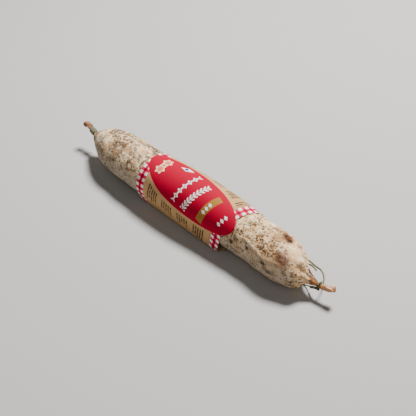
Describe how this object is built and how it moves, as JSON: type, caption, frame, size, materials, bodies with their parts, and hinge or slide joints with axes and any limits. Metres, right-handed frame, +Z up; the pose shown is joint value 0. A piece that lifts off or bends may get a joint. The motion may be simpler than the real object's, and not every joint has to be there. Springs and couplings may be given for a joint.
{
  "type": "dry-cured sausage",
  "caption": "Small dry-cured sausage lying on its side, its casing bloomed white, with a paper band round the middle and twine on both tails",
  "frame": {"origin": "on the ground below the middle of the sausage, at the middle of the bounding box's underside", "axes": "+X runs along the sausage to its drooping tail, +Z is up, and -Y is the side where the paper band is slack"},
  "size_m": [0.2062, 0.0382, 0.0308],
  "materials": {
    "casing": "matt, dry natural casing with a powdery white bloom, brown where the bloom is thin",
    "paper": "smooth printed paper, satin: red, kraft brown and a red and white check",
    "twine": "twisted plant-fibre twine, grey-green and matt"
  },
  "bodies": {
    "root": {"sausage": "casing", "label": "paper", "far_tie": "twine", "near_tie": "twine", "long_strand": "twine", "short_strand": "twine"}
  },
  "joints": []
}
